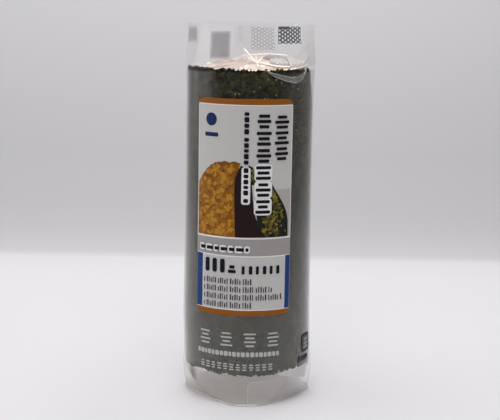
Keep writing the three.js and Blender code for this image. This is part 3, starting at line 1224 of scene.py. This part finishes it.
class Print:
    """Flat artwork, laid out in millimetres from a corner, and then laid round the film."""

    def __init__(self, form, slot, origin_angle, origin_height, lift, stiff_width=0.0):
        self.form, self.slot = form, slot
        self.stiff_width = stiff_width  # of paper that keeps its width where the film has spread
        self.radius = form.settings.radius + lift
        self.angle, self.height, self.lift = origin_angle, origin_height, lift
        self.parts = []

    def keep(self, part, place):
        """Keeps a part, with its points moved to place(point), in millimetres."""
        shape(part, lambda co: place(co) * MM)
        self.parts.append(part)

    def bar(self, x, y, width, height, corner=0.0):
        """A rectangle with its lower left corner at x, y."""
        deselect_all()
        bpy.ops.mesh.primitive_plane_add(size=1)
        part = just_added("Field")
        self.keep(part, lambda co: Vector((x + (co.x + 0.5) * width, y + (co.y + 0.5) * height, 0)))
        if corner:
            bpy.ops.object.mode_set(mode="EDIT")
            bpy.ops.mesh.select_all(action="SELECT")
            bpy.ops.mesh.bevel(offset=corner * MM, segments=4, affect="VERTICES")
            bpy.ops.object.mode_set(mode="OBJECT")

    def disc(self, x, y, radius, sides=16, tallness=1.0, turned=0.0):
        """A disc or, where its tallness isn't 1, an oval turned by an angle."""
        deselect_all()
        bpy.ops.mesh.primitive_circle_add(vertices=sides, radius=radius, fill_type="NGON")
        spin = Matrix.Rotation(turned, 4, "Z")
        middle = Vector((x, y, 0))
        part = just_added("Field")
        self.keep(part, lambda co: spin @ Vector((co.x, co.y * tallness, 0)) + middle)

    def field(self, outline):
        """A field with the given corners, anticlockwise."""
        deselect_all()
        bpy.ops.mesh.primitive_circle_add(vertices=len(outline), radius=1, fill_type="NGON")
        part = just_added("Field")
        corners = [Vector((x, y, 0)) * MM for x, y in outline]
        for vertex, corner in zip(part.data.vertices, corners):
            vertex.co = corner
        self.parts.append(part)

    def mark(self, x, y, width, height, strokes, weight, start):
        """A printed mark of short strokes, one above the other."""
        pitch = height / strokes
        for i in range(strokes):
            share = STROKE_SHARES[(start + i) % len(STROKE_SHARES)]
            thick = pitch * weight
            self.bar(x + width * (1 - share) / 2, y + pitch * i, width * share, thick, thick * 0.3)

    def strokes(self, x, y, length, height, pitch):
        """A row of upright strokes of uneven widths and heights."""
        at, i = x, 0
        while at < x + length:
            share = STROKE_SHARES[i % len(STROKE_SHARES)]
            self.bar(at, y, pitch * 0.5 * share, height * (0.75 + 0.25 * (i % 3 > 0)))
            at += pitch * (1.0 if i % 5 else 1.5)
            i += 1

    def dashes(self, x, y, length, height, word):
        """A row of dashes of uneven lengths, as long as the words of a line."""
        at, i = x, 0
        while at < x + length:
            long = min(word * STROKE_SHARES[i % len(STROKE_SHARES)], x + length - at)
            if long > height * 0.5:
                self.bar(at, y, long, height, height * 0.25)
            at += long + word * 0.22
            i += 1

    def turned_dashes(self, x, y, length, width, word):
        """A column of dashes of uneven lengths."""
        at, i = y, 0
        while at < y + length:
            long = word * STROKE_SHARES[i % len(STROKE_SHARES)]
            self.bar(x, at, width, long, width * 0.25)
            at += long + word * (0.28 if i % 5 else 0.7)
            i += 1

    def laid(self, name, material, layer=1, wall=INK * 0.8):
        """Joins what was drawn, cuts it along the film's cells and lays it on them."""
        piece = joined(name, self.parts)
        self.parts = []
        points = [vertex.co.copy() for vertex in piece.data.vertices]
        select_only(piece)
        bpy.ops.object.mode_set(mode="EDIT")
        cell_width = math.radians(self.form.CELL_ANGLE) * self.radius
        start_x = -math.radians(self.angle % self.form.CELL_ANGLE) * self.radius
        cell_height = self.form.CELL_HEIGHT
        start_y = -(self.height % cell_height)
        for axis, pitch, start in ((0, cell_width, start_x), (1, cell_height, start_y)):
            normal = (1 - axis, axis, 0)
            reach = [point[axis] for point in points]
            first = math.ceil((min(reach) - start) / pitch)
            last = math.floor((max(reach) - start) / pitch)
            for i in range(first, last + 1):
                at = start + i * pitch
                bpy.ops.mesh.select_all(action="SELECT")
                bpy.ops.mesh.bisect(plane_co=(at * normal[0], at * normal[1], 0), plane_no=normal)
        bpy.ops.object.mode_set(mode="OBJECT")
        if sum(face.normal.z * face.area for face in piece.data.polygons) < 0:
            piece.data.flip_normals()
        lift = self.lift + layer * INK

        def onto_film(co):
            narrowed = spread_at(self.height + co.y) if self.stiff_width else 1
            across = self.stiff_width / 2 + (co.x - self.stiff_width / 2) / narrowed
            angle = self.angle + math.degrees(across / self.radius)
            return self.form.on_cells(angle, self.height + co.y, lift)

        shape(piece, onto_film)
        thicken(piece, wall)
        finish_piece(piece, material, self.slot)
        return piece


def corner_arc(x, y, radius, start, turned=90, steps=6):
    """Points of an arc round x, y, from an angle in degrees."""
    angles = [math.radians(start + turned * i / steps) for i in range(steps + 1)]
    return [(x + radius * math.cos(a), y + radius * math.sin(a)) for a in angles]


PICTURE_LOW = 27.3  # lower edge of the label's picture
HEAP_BEND = 9.5  # the heap's top is level to the right of this
HEAP_FALL = 9.1  # width of the part that falls away to the left of it


def heap_slope(x, top, fall):
    """The heap's height, which falls away towards its left side."""
    return top - fall * max(0, (HEAP_BEND - x) / HEAP_FALL) ** 1.9


def heap_outline():
    """The outline of a heap with two rounded humps and small lumps, anticlockwise."""
    outline = [(0.4, PICTURE_LOW), (15.6, PICTURE_LOW), (15.4, 47)]
    steps = 48
    for i in range(steps + 1):
        x = 16.6 - 16.2 * i / steps
        hump, lump = 0.55 * abs(math.sin((x - 12.8) * 0.95)), 0.3 * abs(math.sin(x * 1.9))
        outline.append((x, heap_slope(x, 52.9, 7.6) - 0.4 + (hump if x > HEAP_BEND else lump)))
    return outline


def make_label_fields(art, look, width, height):
    """The label's plain fields: ochre ends, blue sides, pale ground, grey band and white panel."""
    corner, band, edge = LABEL_CORNER, 1.9, 0.3
    art.bar(edge, PICTURE_LOW, width - 2 * edge, height - band - PICTURE_LOW - edge)
    art.bar(3.0, 2.2, width - 5.1, 18.3)
    art.laid("Label_Ground", printed("Pale Ink", look.ground_color))

    chord = corner - math.sqrt(corner**2 - (corner - band) ** 2)
    lower = [p for p in corner_arc(corner, corner, corner, 180) if p[1] <= band]
    lower += [p for p in corner_arc(width - corner, corner, corner, 270) if p[1] <= band]
    art.field([(chord, band), *lower, (width - chord, band)])
    top = height - band
    upper = [p for p in corner_arc(width - corner, height - corner, corner, 0) if p[1] >= top]
    upper += [p for p in corner_arc(corner, height - corner, corner, 90) if p[1] >= top]
    art.field([(width - chord, top), *upper, (chord, top)])
    art.laid("Label_Ochre_Bands", printed("Ochre Ink", look.ochre_color))

    art.bar(0.05, 2.1, 2.75, 18.6)
    art.bar(width - 2.0, 2.1, 1.95, 18.6)
    art.laid("Label_Blue_Bars", printed("Blue Ink", look.navy_color))

    art.bar(0.05, 20.9, width - 0.1, 5.8)
    art.laid("Label_Grey_Band", printed("Grey Ink", look.grey_color))


def make_label_picture(art, width):
    """A heap of crushed beans, a dark leaf of nori and chopped greens, as plain printed shapes."""
    low = PICTURE_LOW
    random.seed(SEED + 2)
    art.field(heap_outline())
    art.laid("Label_Beans_Ground", printed_beans(), layer=2)
    bean_inks = (("#c2882c", 95, 1), ("#b07524", 110, 1), ("#98611a", 60, 1), ("#683a10", 26, 0.5))
    for tone, (color, count, size) in enumerate(bean_inks):
        for _ in range(count):
            x, y = random.uniform(0.9, 14.2), random.uniform(low + 0.6, 51.8)
            radius = random.uniform(0.55, 1.1) * size
            if y < heap_slope(x, 51.6, 6.6):
                sides, tallness = random.choice((6, 7, 8, 9)), random.uniform(0.45, 0.85)
                art.disc(x, y, radius, sides, tallness, random.uniform(0, math.pi))
        ink = offset_ink("Bean Ink %d" % tone, color)
        art.laid("Label_Beans_%d" % tone, ink, layer=6 - tone)

    leaf = [(24.8, low), (23.0, 31), (21.4, 36), (20.5, 45), (18.6, 50.4), (16.8, 51.8)]
    art.field([(15.1, low), *leaf, (15.7, 49.8), (14.8, 47.4), (14.6, 43)])
    art.laid("Label_Dark_Leaf", offset_ink("Maroon Black Ink", "#200f12"), layer=7)

    slope = [(33.8, 33), (33.2, 35.8), (32.0, 38.3), (30.1, 41.4), (28.2, 44.2), (26.6, 47.1)]
    art.field([(24.2, low), (33.9, low), *slope, (24.4, 44.6), (22.0, 38), (22.4, 33)])
    art.field([(18.9, 49.8), (20.4, 45.2), (21.7, 45.4), (21.8, 48.4), (20.7, 51.2), (19.4, 51.9)])
    art.laid("Label_Greens_Ground", offset_ink("Dark Green Ink", "#181b0f"), layer=8)
    for tone, color in enumerate(("#4f4a1c", "#6f6324", "#8b7b30")):
        for _ in range(54 - 8 * tone):
            y = low + 0.6 + 17.8 * random.random() ** 1.1
            reach = 33.0 - max(0, y - 33) * 0.5
            x = random.uniform(24.6 - 1.6 * (y > 36), reach)
            radius, sides = random.uniform(0.4, 1.4), random.choice((3, 4, 5))
            art.disc(x, y, radius, sides, 0.45, random.uniform(0, math.pi))
        for _ in range(7):
            x, y = random.uniform(19.4, 21.4), random.uniform(46.2, 50.6)
            radius, sides = random.uniform(0.3, 0.7), random.choice((4, 5))
            art.disc(x, y, radius, sides, 0.6, random.uniform(0, math.pi))
        ink = offset_ink("Green Ink %d" % tone, color)
        art.laid("Label_Greens_%d" % tone, ink, layer=9 + tone)
    edge = width - 0.35
    slope = [(28.9, 43.6), (30.4, 41.4), (32.3, 38.3), (33.5, 35.8)]
    art.field([(34.1, low), (edge, low), (edge, 43.6), *slope])
    art.laid("Label_Pale_Field", offset_ink("Pale Rose Ink", "#bdb3b1"), layer=2)


def make_label_marks(art, look):
    """Columns and rows of plain strokes, with white borders where they cross the picture."""
    white = offset_ink("White Line Ink", "#f2f0ee")
    for i in range(3, 6):
        art.bar(21.3, 63.7 - 5.75 * i, 6.1, 5.9, 1.2)
    art.bar(17.0, 38.6, 3.0, 12.6, 0.8)
    art.dashes(1.6, 21.9, 18.6, 2.5, 2.6)
    art.laid("Label_White_Borders", white, layer=12)

    for i in range(3):
        art.mark(28.1, 64.1 - 5.3 * i, 5.4, 5.0, strokes=3, weight=0.6, start=i)
    for i in range(6):
        art.mark(21.8, 64.3 - 5.75 * i, 5.1, 5.3, strokes=3, weight=0.6, start=i + 2)
    art.turned_dashes(17.7, 39.2, 30.0, 1.6, 1.7)
    for i in range(3):
        art.bar(4.2 + 2.9 * i, 14.8, 1.7, 4.8, 0.7)
    art.mark(12.9, 14.9, 2.7, 3.2, strokes=2, weight=0.7, start=1)
    for i in range(6):
        art.bar(17.6 + 2.4 * i, 14.6, 1.0 + 0.2 * (i % 2), 2.9, 0.4)
    for row, length in enumerate((17.0, 24.4, 28.4, 17.0)):
        art.strokes(3.7, 11.0 - 2.75 * row, length, 2.0, 0.8)
    art.dashes(2.0, 22.5, 17.8, 1.2, 2.6)
    art.laid("Label_Marks", printed("Text Ink", look.text_color), layer=13)

    art.disc(5.8, 66.8, 2.2, sides=40)
    art.bar(3.2, 61.0, 5.4, 1.4, 0.4)
    art.laid("Label_Emblem", offset_ink("Deep Navy Ink", "#142b5e"), layer=2)


def make_label(settings):
    look = settings.label
    form = FilmForm(settings.film)
    left, right = LABEL_ANGLES
    width = math.radians(right - left) * (settings.film.radius + LABEL_LIFT) / MM
    height = (LABEL_HIGH.z - LABEL_LOW.z) / MM
    art = Print(form, "label", left, LABEL_LOW.z, LABEL_LIFT, stiff_width=width * MM)
    art.bar(0, 0, width, height, LABEL_CORNER)
    coated = printed("Coated Paper", look.paper_color)
    paper = art.laid("Label", coated, layer=0, wall=look.thickness)
    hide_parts("label")
    make_label_fields(art, look, width, height)
    make_label_picture(art, width)
    make_label_marks(art, look)


DOT_ROW = 1.26  # spacing of the staggered dots up the film, in millimetres
DOT_FLATNESS = 0.78  # their height beside their width
FILM_PRINT_LIFT = 0.05 * MM


def pierced(art, x, y, columns, rows, pitch, radius):
    """A panel of ink left open at staggered round dots, as two halves round each dot."""
    for column in range(columns):
        left, right = x + pitch * column, x + pitch * (column + 1)
        centre = (left + right) / 2
        shift = DOT_ROW / 2 * (column % 2)
        art.bar(left, y + DOT_ROW / 4 if shift else y + DOT_ROW * rows, pitch, DOT_ROW / 4)
        for row in range(rows):
            low = y + shift + DOT_ROW * row
            middle, high = low + DOT_ROW / 2, low + DOT_ROW
            arc = corner_arc(centre, 0, radius, start=180, turned=-180, steps=8)
            over = [(px, DOT_FLATNESS * py + middle) for px, py in arc]
            under = [(px, 2 * middle - py) for px, py in reversed(over)]
            art.field([(right, middle), (right, high), (left, high), (left, middle), *over])
            art.field([(left, middle), (left, low), (right, low), (right, middle), *under])


def make_film_prints(settings):
    """Prints on the film: rows under the label, a dotted panel above it and panels on the back."""
    form = FilmForm(settings.film)
    front = Print(form, "outer_film", 0.0, 0.0, FILM_PRINT_LIFT)
    for i in range(4):
        front.mark(-16.9 + 8.0 * i, 21.4, 4.2, 5.6, strokes=4, weight=0.42, start=i)
    front.dashes(-18.2, 17.8, 29.5, 1.7, word=1.4)
    for i in range(12):
        front.mark(-16.9 + 2.2 * i, 13.0, 1.6, 2.6, strokes=3, weight=0.5, start=i)
    front.laid("Film_Print_Pale", offset_ink("White Film Ink", "#c4c5c1"))

    front.bar(22.0, 16.6, 6.6, 6.6, 1.4)
    for i in range(4):
        low, width = 0.2 * (i % 2), 1.3 + 0.2 * (i % 3)
        front.bar(20.0 + 1.9 * i, 13.5 + low, width, 2.1 - 0.3 * (i % 2), 0.3)
    front.laid("Film_Print_Dark", offset_ink("Black Film Ink", "#26262c"))
    pierced(front, 10.0, 124.3, columns=9, rows=4, pitch=1.41, radius=0.5)
    front.bar(10.0, 129.2, 5.8, 0.8)
    front.laid("Film_Print_Dotted_Panel", offset_ink("Slate Film Ink", "#6e7078"))
    front.bar(22.8, 17.4, 5.0, 5.0, 0.8)
    front.laid("Film_Print_Frame", offset_ink("Grey Film Ink", "#5d5e60"), layer=5)
    for i in range(3):
        front.bar(23.4 + 0.3 * i, 18.0 + 1.4 * i, 3.2 - 0.6 * (i == 1), 0.6)
    front.bar(24.6, 18.0, 0.6, 3.8)
    front.laid("Film_Print_Frame_Lines", offset_ink("Pale Film Ink", "#a9aaac"), layer=9)

    # Painted shade: stacked soft grey discs darken the film at the foot's left, where a fold is in
    # shade.
    fold_shade = thin_ink_and_painted_shade("Painted Fold Shade Ink", "#6c6d70", cover=0.09)
    for i in range(4):
        front.disc(-22.0, 8.8, 2.5 - 0.5 * i, tallness=1.4)
        front.laid("Film_Print_Smudge_%d" % i, fold_shade, layer=1 + 3 * i)

    back = Print(form, "outer_film", 180.0, 0.0, FILM_PRINT_LIFT)
    blurred = thin_ink_and_painted_shade("Grey Back Ink", "#62687f", cover=0.15)
    for i in range(4):
        inset = 0.4 * i
        back.bar(7.6 + inset, 117.0 + inset, 8.4 - 2 * inset, 10.2 - 2 * inset, 0.6)
        back.bar(23.6 + inset, 123.4 + inset, 8.0 - 2 * inset, 5.8 - 2 * inset, 0.6)
        back.laid("Film_Print_Back_Panels_%d" % i, blurred, layer=1 + 3 * i)
    pierced(back, -9.0, 120.4, columns=8, rows=6, pitch=1.12, radius=0.42)
    pale = thin_ink_and_painted_shade("Pale Back Ink", "#85868e", cover=0.17)
    back.laid("Film_Print_Back_Dotted_Panel", pale)


FOOT_CORNER = corner_arc(1.6, 7.4, 1.6, start=90)  # the tab's upper left corner
FOLD_TOP = ((16.6, 3.6), (12.6, 2.5), (10.6, 2.4), (7.4, 3.0), (3.2, 3.9), (0, 5.2))
FOLD_LOW = ((0, 5.0), (4.2, 2.4), (8.8, 0.9), (12.8, 0.2), (14.8, 0.6), (16.5, 1.4), (17.4, 2.8))


def narrow_strip(there, back, x, y):
    """The outline of a narrow strip, along some points and back along others, moved aside."""
    return [*there, *[(px + x, py + y) for px, py in reversed(back)]]


def make_film_flaps(settings):
    """Loose edges of film: a tab at the sleeve's foot, and a lens-shaped fold over the nori."""
    film = settings.film
    form = FilmForm(film)
    wall = film.thickness
    foot = Print(form, "outer_film", 1.0, 0.0, 0.09 * MM)
    foot.field([(0, 0.3), (30, 0.3), (30, 12.0), (20, 11.0), (7, 9.3), *FOOT_CORNER])
    tab = hazy_film("Tab Polypropylene Film", film, 0.02)
    foot.laid("Film_Foot_Tab", tab, layer=0, wall=wall)
    foot.bar(0, 0.3, 0.22, 7.2)
    foot.field(narrow_strip(FOOT_CORNER, FOOT_CORNER, 0.1, -0.22))
    foot.field([(6.5, 9.25), (1.6, 9.0), (1.6, 8.78), (6.5, 9.05)])
    foot.bar(-0.2, 122.6, 0.22, FILM_HIGH.z / MM - 123.0)
    edge = hazy_film("Edge Polypropylene Film", film, 0.5, gloss=0.12)
    foot.laid("Film_Cut_Edges", edge, layer=3, wall=wall)
    foot.field([(9.5, 11.2), (13, 10.2), (18, 8.6), (26, 6.4), (26, 12.2), (18, 11.8), (13, 11.5)])
    doubled = hazy_film("Doubled Polypropylene Film", film, 0.85)
    foot.laid("Film_Foot_Fold", doubled, layer=-3, wall=wall)

    def rim_path(t):
        return form.place(FULL_TURN * t, 0.25 * MM, 0.05 * MM)

    strip = fold_strip(rim_path, 360, width=0.25 * MM, stand=0.25 * MM)
    finish_piece(joined("Film_Rim", [strip]), edge, "outer_film")

    lens = Print(form, "inner_film", 11.0, 111.0 * MM, -0.1 * MM)
    lens.field([*FOLD_LOW, *FOLD_TOP])
    fold = hazy_film("Fold Polypropylene Film", film, 0.17)
    lens.laid("Film_Fold_Over", fold, layer=0, wall=wall)
    lens.field(narrow_strip(FOLD_LOW[:4], FOLD_LOW[1:4], 0, 0.3))
    lens.field([(16.6, 3.6), (17.4, 2.8), (18.6, 4.6), (18.2, 4.8)])
    lens.field(narrow_strip(FOLD_TOP[1:], FOLD_TOP[1:5], 0, -0.28)[::-1])
    bright = hazy_film("Fold Edge Polypropylene Film", film, 0.4, gloss=0.15)
    lens.laid("Film_Fold_Over_Edge", bright, layer=3, wall=wall)


# ---- Stage --------------------------------------------------------------------------------------

SWEEP_WIDTH = 6
SOFTBOXES = (  # names, widths and depths, watts, places, and the points that they face
    ("Top_Softbox", (0.7, 0.6), 4.1, (0, 0, 0.75), (0, 0, 0)),
    ("Front_Softbox", (0.6, 0.4), 1.9, (0, -0.55, 0.6), (0, 0, 0.05)),
    ("Back_Softbox", (0.5, 0.16), 0.9, (0.03, 0.34, 0.5), (0, 0, 0.11)),
    ("Left_Softbox", (0.6, 0.5), 1.0, (-0.6, 0.05, 0.25), (0, 0, 0.07)),
    ("Right_Softbox", (0.6, 0.5), 0.3, (0.6, 0.05, 0.25), (0, 0, 0.07)),
)
ROOM_COLOR = (0.04, 0.04, 0.042, 1)


def make_paper_sweep(color):
    """A paper floor that bends up into a wall behind the roll."""
    sheet = flat_sheet("Paper_Sweep", 8, 60)
    flat, bend, front, wall = 0.2, 0.25, 0.45, 1.6
    arc = bend * math.pi / 2
    length = front + flat + arc + wall

    def swept(co):
        along = co.y * length - front
        x = (co.x - 0.5) * SWEEP_WIDTH
        if along <= flat:
            return Vector((x, along, 0))
        turned = min(along - flat, arc) / bend
        rise = max(along - flat - arc, 0)
        y = flat + bend * math.sin(turned)
        return Vector((x, y, bend * (1 - math.cos(turned)) + rise))

    shape(sheet, swept)
    smooth_shaded(sheet)
    sheet.data.materials.append(paper_with_painted_light_and_shade(color))


def make_lights(scene):
    for name, size, power, place, aim in SOFTBOXES:
        light = bpy.data.lights.new(name, "AREA")
        light.shape, light.energy = "RECTANGLE", power
        light.size, light.size_y = size
        lamp = bpy.data.objects.new(name, light)
        lamp.location = place
        lamp.rotation_euler = (Vector(aim) - Vector(place)).to_track_quat("-Z", "Y").to_euler()
        lamp.visible_camera = False
        scene.collection.objects.link(lamp)
    world = bpy.data.worlds.new("Dim_Room")
    world.use_nodes = True
    world.node_tree.nodes["Background"].inputs["Color"].default_value = ROOM_COLOR
    scene.world = world


def make_camera(scene, look):
    camera = bpy.data.cameras.new("Camera")
    camera.lens, camera.sensor_width = look.lens, 36
    holder = bpy.data.objects.new("Camera", camera)
    holder.location = (look.camera_aside, -look.camera_distance, look.camera_height)
    pitch = Matrix.Rotation(math.pi / 2 - look.camera_pitch, 4, "X")
    roll = Matrix.Rotation(look.camera_roll, 4, "Z")
    holder.rotation_euler = (pitch @ roll).to_euler()
    scene.collection.objects.link(holder)
    scene.camera = holder


def make_stage(settings):
    scene = bpy.context.scene
    make_paper_sweep(settings.stage.floor_color)
    make_lights(scene)
    make_camera(scene, settings.stage)
    scene.view_settings.view_transform = "Standard"
    scene.cycles.transparent_max_bounces = 32  # a look through the roll meets many film faces


# ---- Operators, panel and registration ----------------------------------------------------------


class HANDROLL_OT_stage(bpy.types.Operator):
    """Makes the paper sweep, the soft lights and the camera"""

    bl_idname = "handroll.stage"
    bl_label = "Stage"

    def execute(self, context):
        make_stage(context.scene.hand_roll)
        return {"FINISHED"}


class HANDROLL_OT_nori(bpy.types.Operator):
    """Rolls the nori sheet"""

    bl_idname = "handroll.nori"
    bl_label = "Nori"

    def execute(self, context):
        make_nori(context.scene.hand_roll)
        return {"FINISHED"}


class HANDROLL_OT_rice(bpy.types.Operator):
    """Makes the rice grains and the core under them"""

    bl_idname = "handroll.rice"
    bl_label = "Rice"

    def execute(self, context):
        make_rice(context.scene.hand_roll)
        return {"FINISHED"}


class HANDROLL_OT_filling(bpy.types.Operator):
    """Makes the crushed natto"""

    bl_idname = "handroll.filling"
    bl_label = "Filling"

    def execute(self, context):
        make_filling(context.scene.hand_roll)
        return {"FINISHED"}


class HANDROLL_OT_inner_film(bpy.types.Operator):
    """Wraps the rice in the inner film and gathers it over both ends"""

    bl_idname = "handroll.inner_film"
    bl_label = "Inner Film"

    def execute(self, context):
        make_inner_film(context.scene.hand_roll)
        return {"FINISHED"}


class HANDROLL_OT_film_folds(bpy.types.Operator):
    """Folds the inner film tightly along its pleats"""

    bl_idname = "handroll.film_folds"
    bl_label = "Film Folds"

    def execute(self, context):
        make_film_folds(context.scene.hand_roll)
        make_film_facets(context.scene.hand_roll)
        make_film_fin(context.scene.hand_roll)
        return {"FINISHED"}


class HANDROLL_OT_outer_film(bpy.types.Operator):
    """Winds the outer film round the roll"""

    bl_idname = "handroll.outer_film"
    bl_label = "Outer Film"

    def execute(self, context):
        make_outer_film(context.scene.hand_roll)
        return {"FINISHED"}


class HANDROLL_OT_label(bpy.types.Operator):
    """Lays the printed label round the front"""

    bl_idname = "handroll.label"
    bl_label = "Label"

    def execute(self, context):
        make_label(context.scene.hand_roll)
        return {"FINISHED"}


class HANDROLL_OT_film_prints(bpy.types.Operator):
    """Prints the marks on the outer film"""

    bl_idname = "handroll.film_prints"
    bl_label = "Film Prints"

    def execute(self, context):
        make_film_prints(context.scene.hand_roll)
        return {"FINISHED"}


class HANDROLL_OT_film_flaps(bpy.types.Operator):
    """Adds the loose edges of film"""

    bl_idname = "handroll.film_flaps"
    bl_label = "Film Flaps"

    def execute(self, context):
        make_film_flaps(context.scene.hand_roll)
        return {"FINISHED"}


OPERATORS = (
    HANDROLL_OT_stage,
    HANDROLL_OT_nori,
    HANDROLL_OT_rice,
    HANDROLL_OT_filling,
    HANDROLL_OT_inner_film,
    HANDROLL_OT_film_folds,
    HANDROLL_OT_outer_film,
    HANDROLL_OT_label,
    HANDROLL_OT_film_prints,
    HANDROLL_OT_film_flaps,
)


class HANDROLL_PT_panel(bpy.types.Panel):
    """Lists the pieces of the hand roll and their settings"""

    bl_idname = "HANDROLL_PT_panel"
    bl_label = "Hand Roll"
    bl_space_type = "VIEW_3D"
    bl_region_type = "UI"
    bl_category = "Hand Roll"

    def draw(self, context):
        for operator in OPERATORS:
            self.layout.operator(operator.bl_idname)
        settings = context.scene.hand_roll
        for group in (settings.film, settings.food, settings.label, settings.stage):
            for name in group.__annotations__:
                self.layout.prop(group, name)


CLASSES = (
    FilmSettings,
    FoodSettings,
    LabelSettings,
    StageSettings,
    HandRollSettings,
    *OPERATORS,
    HANDROLL_PT_panel,
)


def register():
    for cls in CLASSES:
        bpy.utils.register_class(cls)
    bpy.types.Scene.hand_roll = bpy.props.PointerProperty(type=HandRollSettings)


def unregister():
    del bpy.types.Scene.hand_roll
    for cls in reversed(CLASSES):
        bpy.utils.unregister_class(cls)


def main():
    register()
    for operator in OPERATORS:
        group, name = operator.bl_idname.split(".")
        getattr(getattr(bpy.ops, group), name)()


if __name__ == "__main__":
    main()
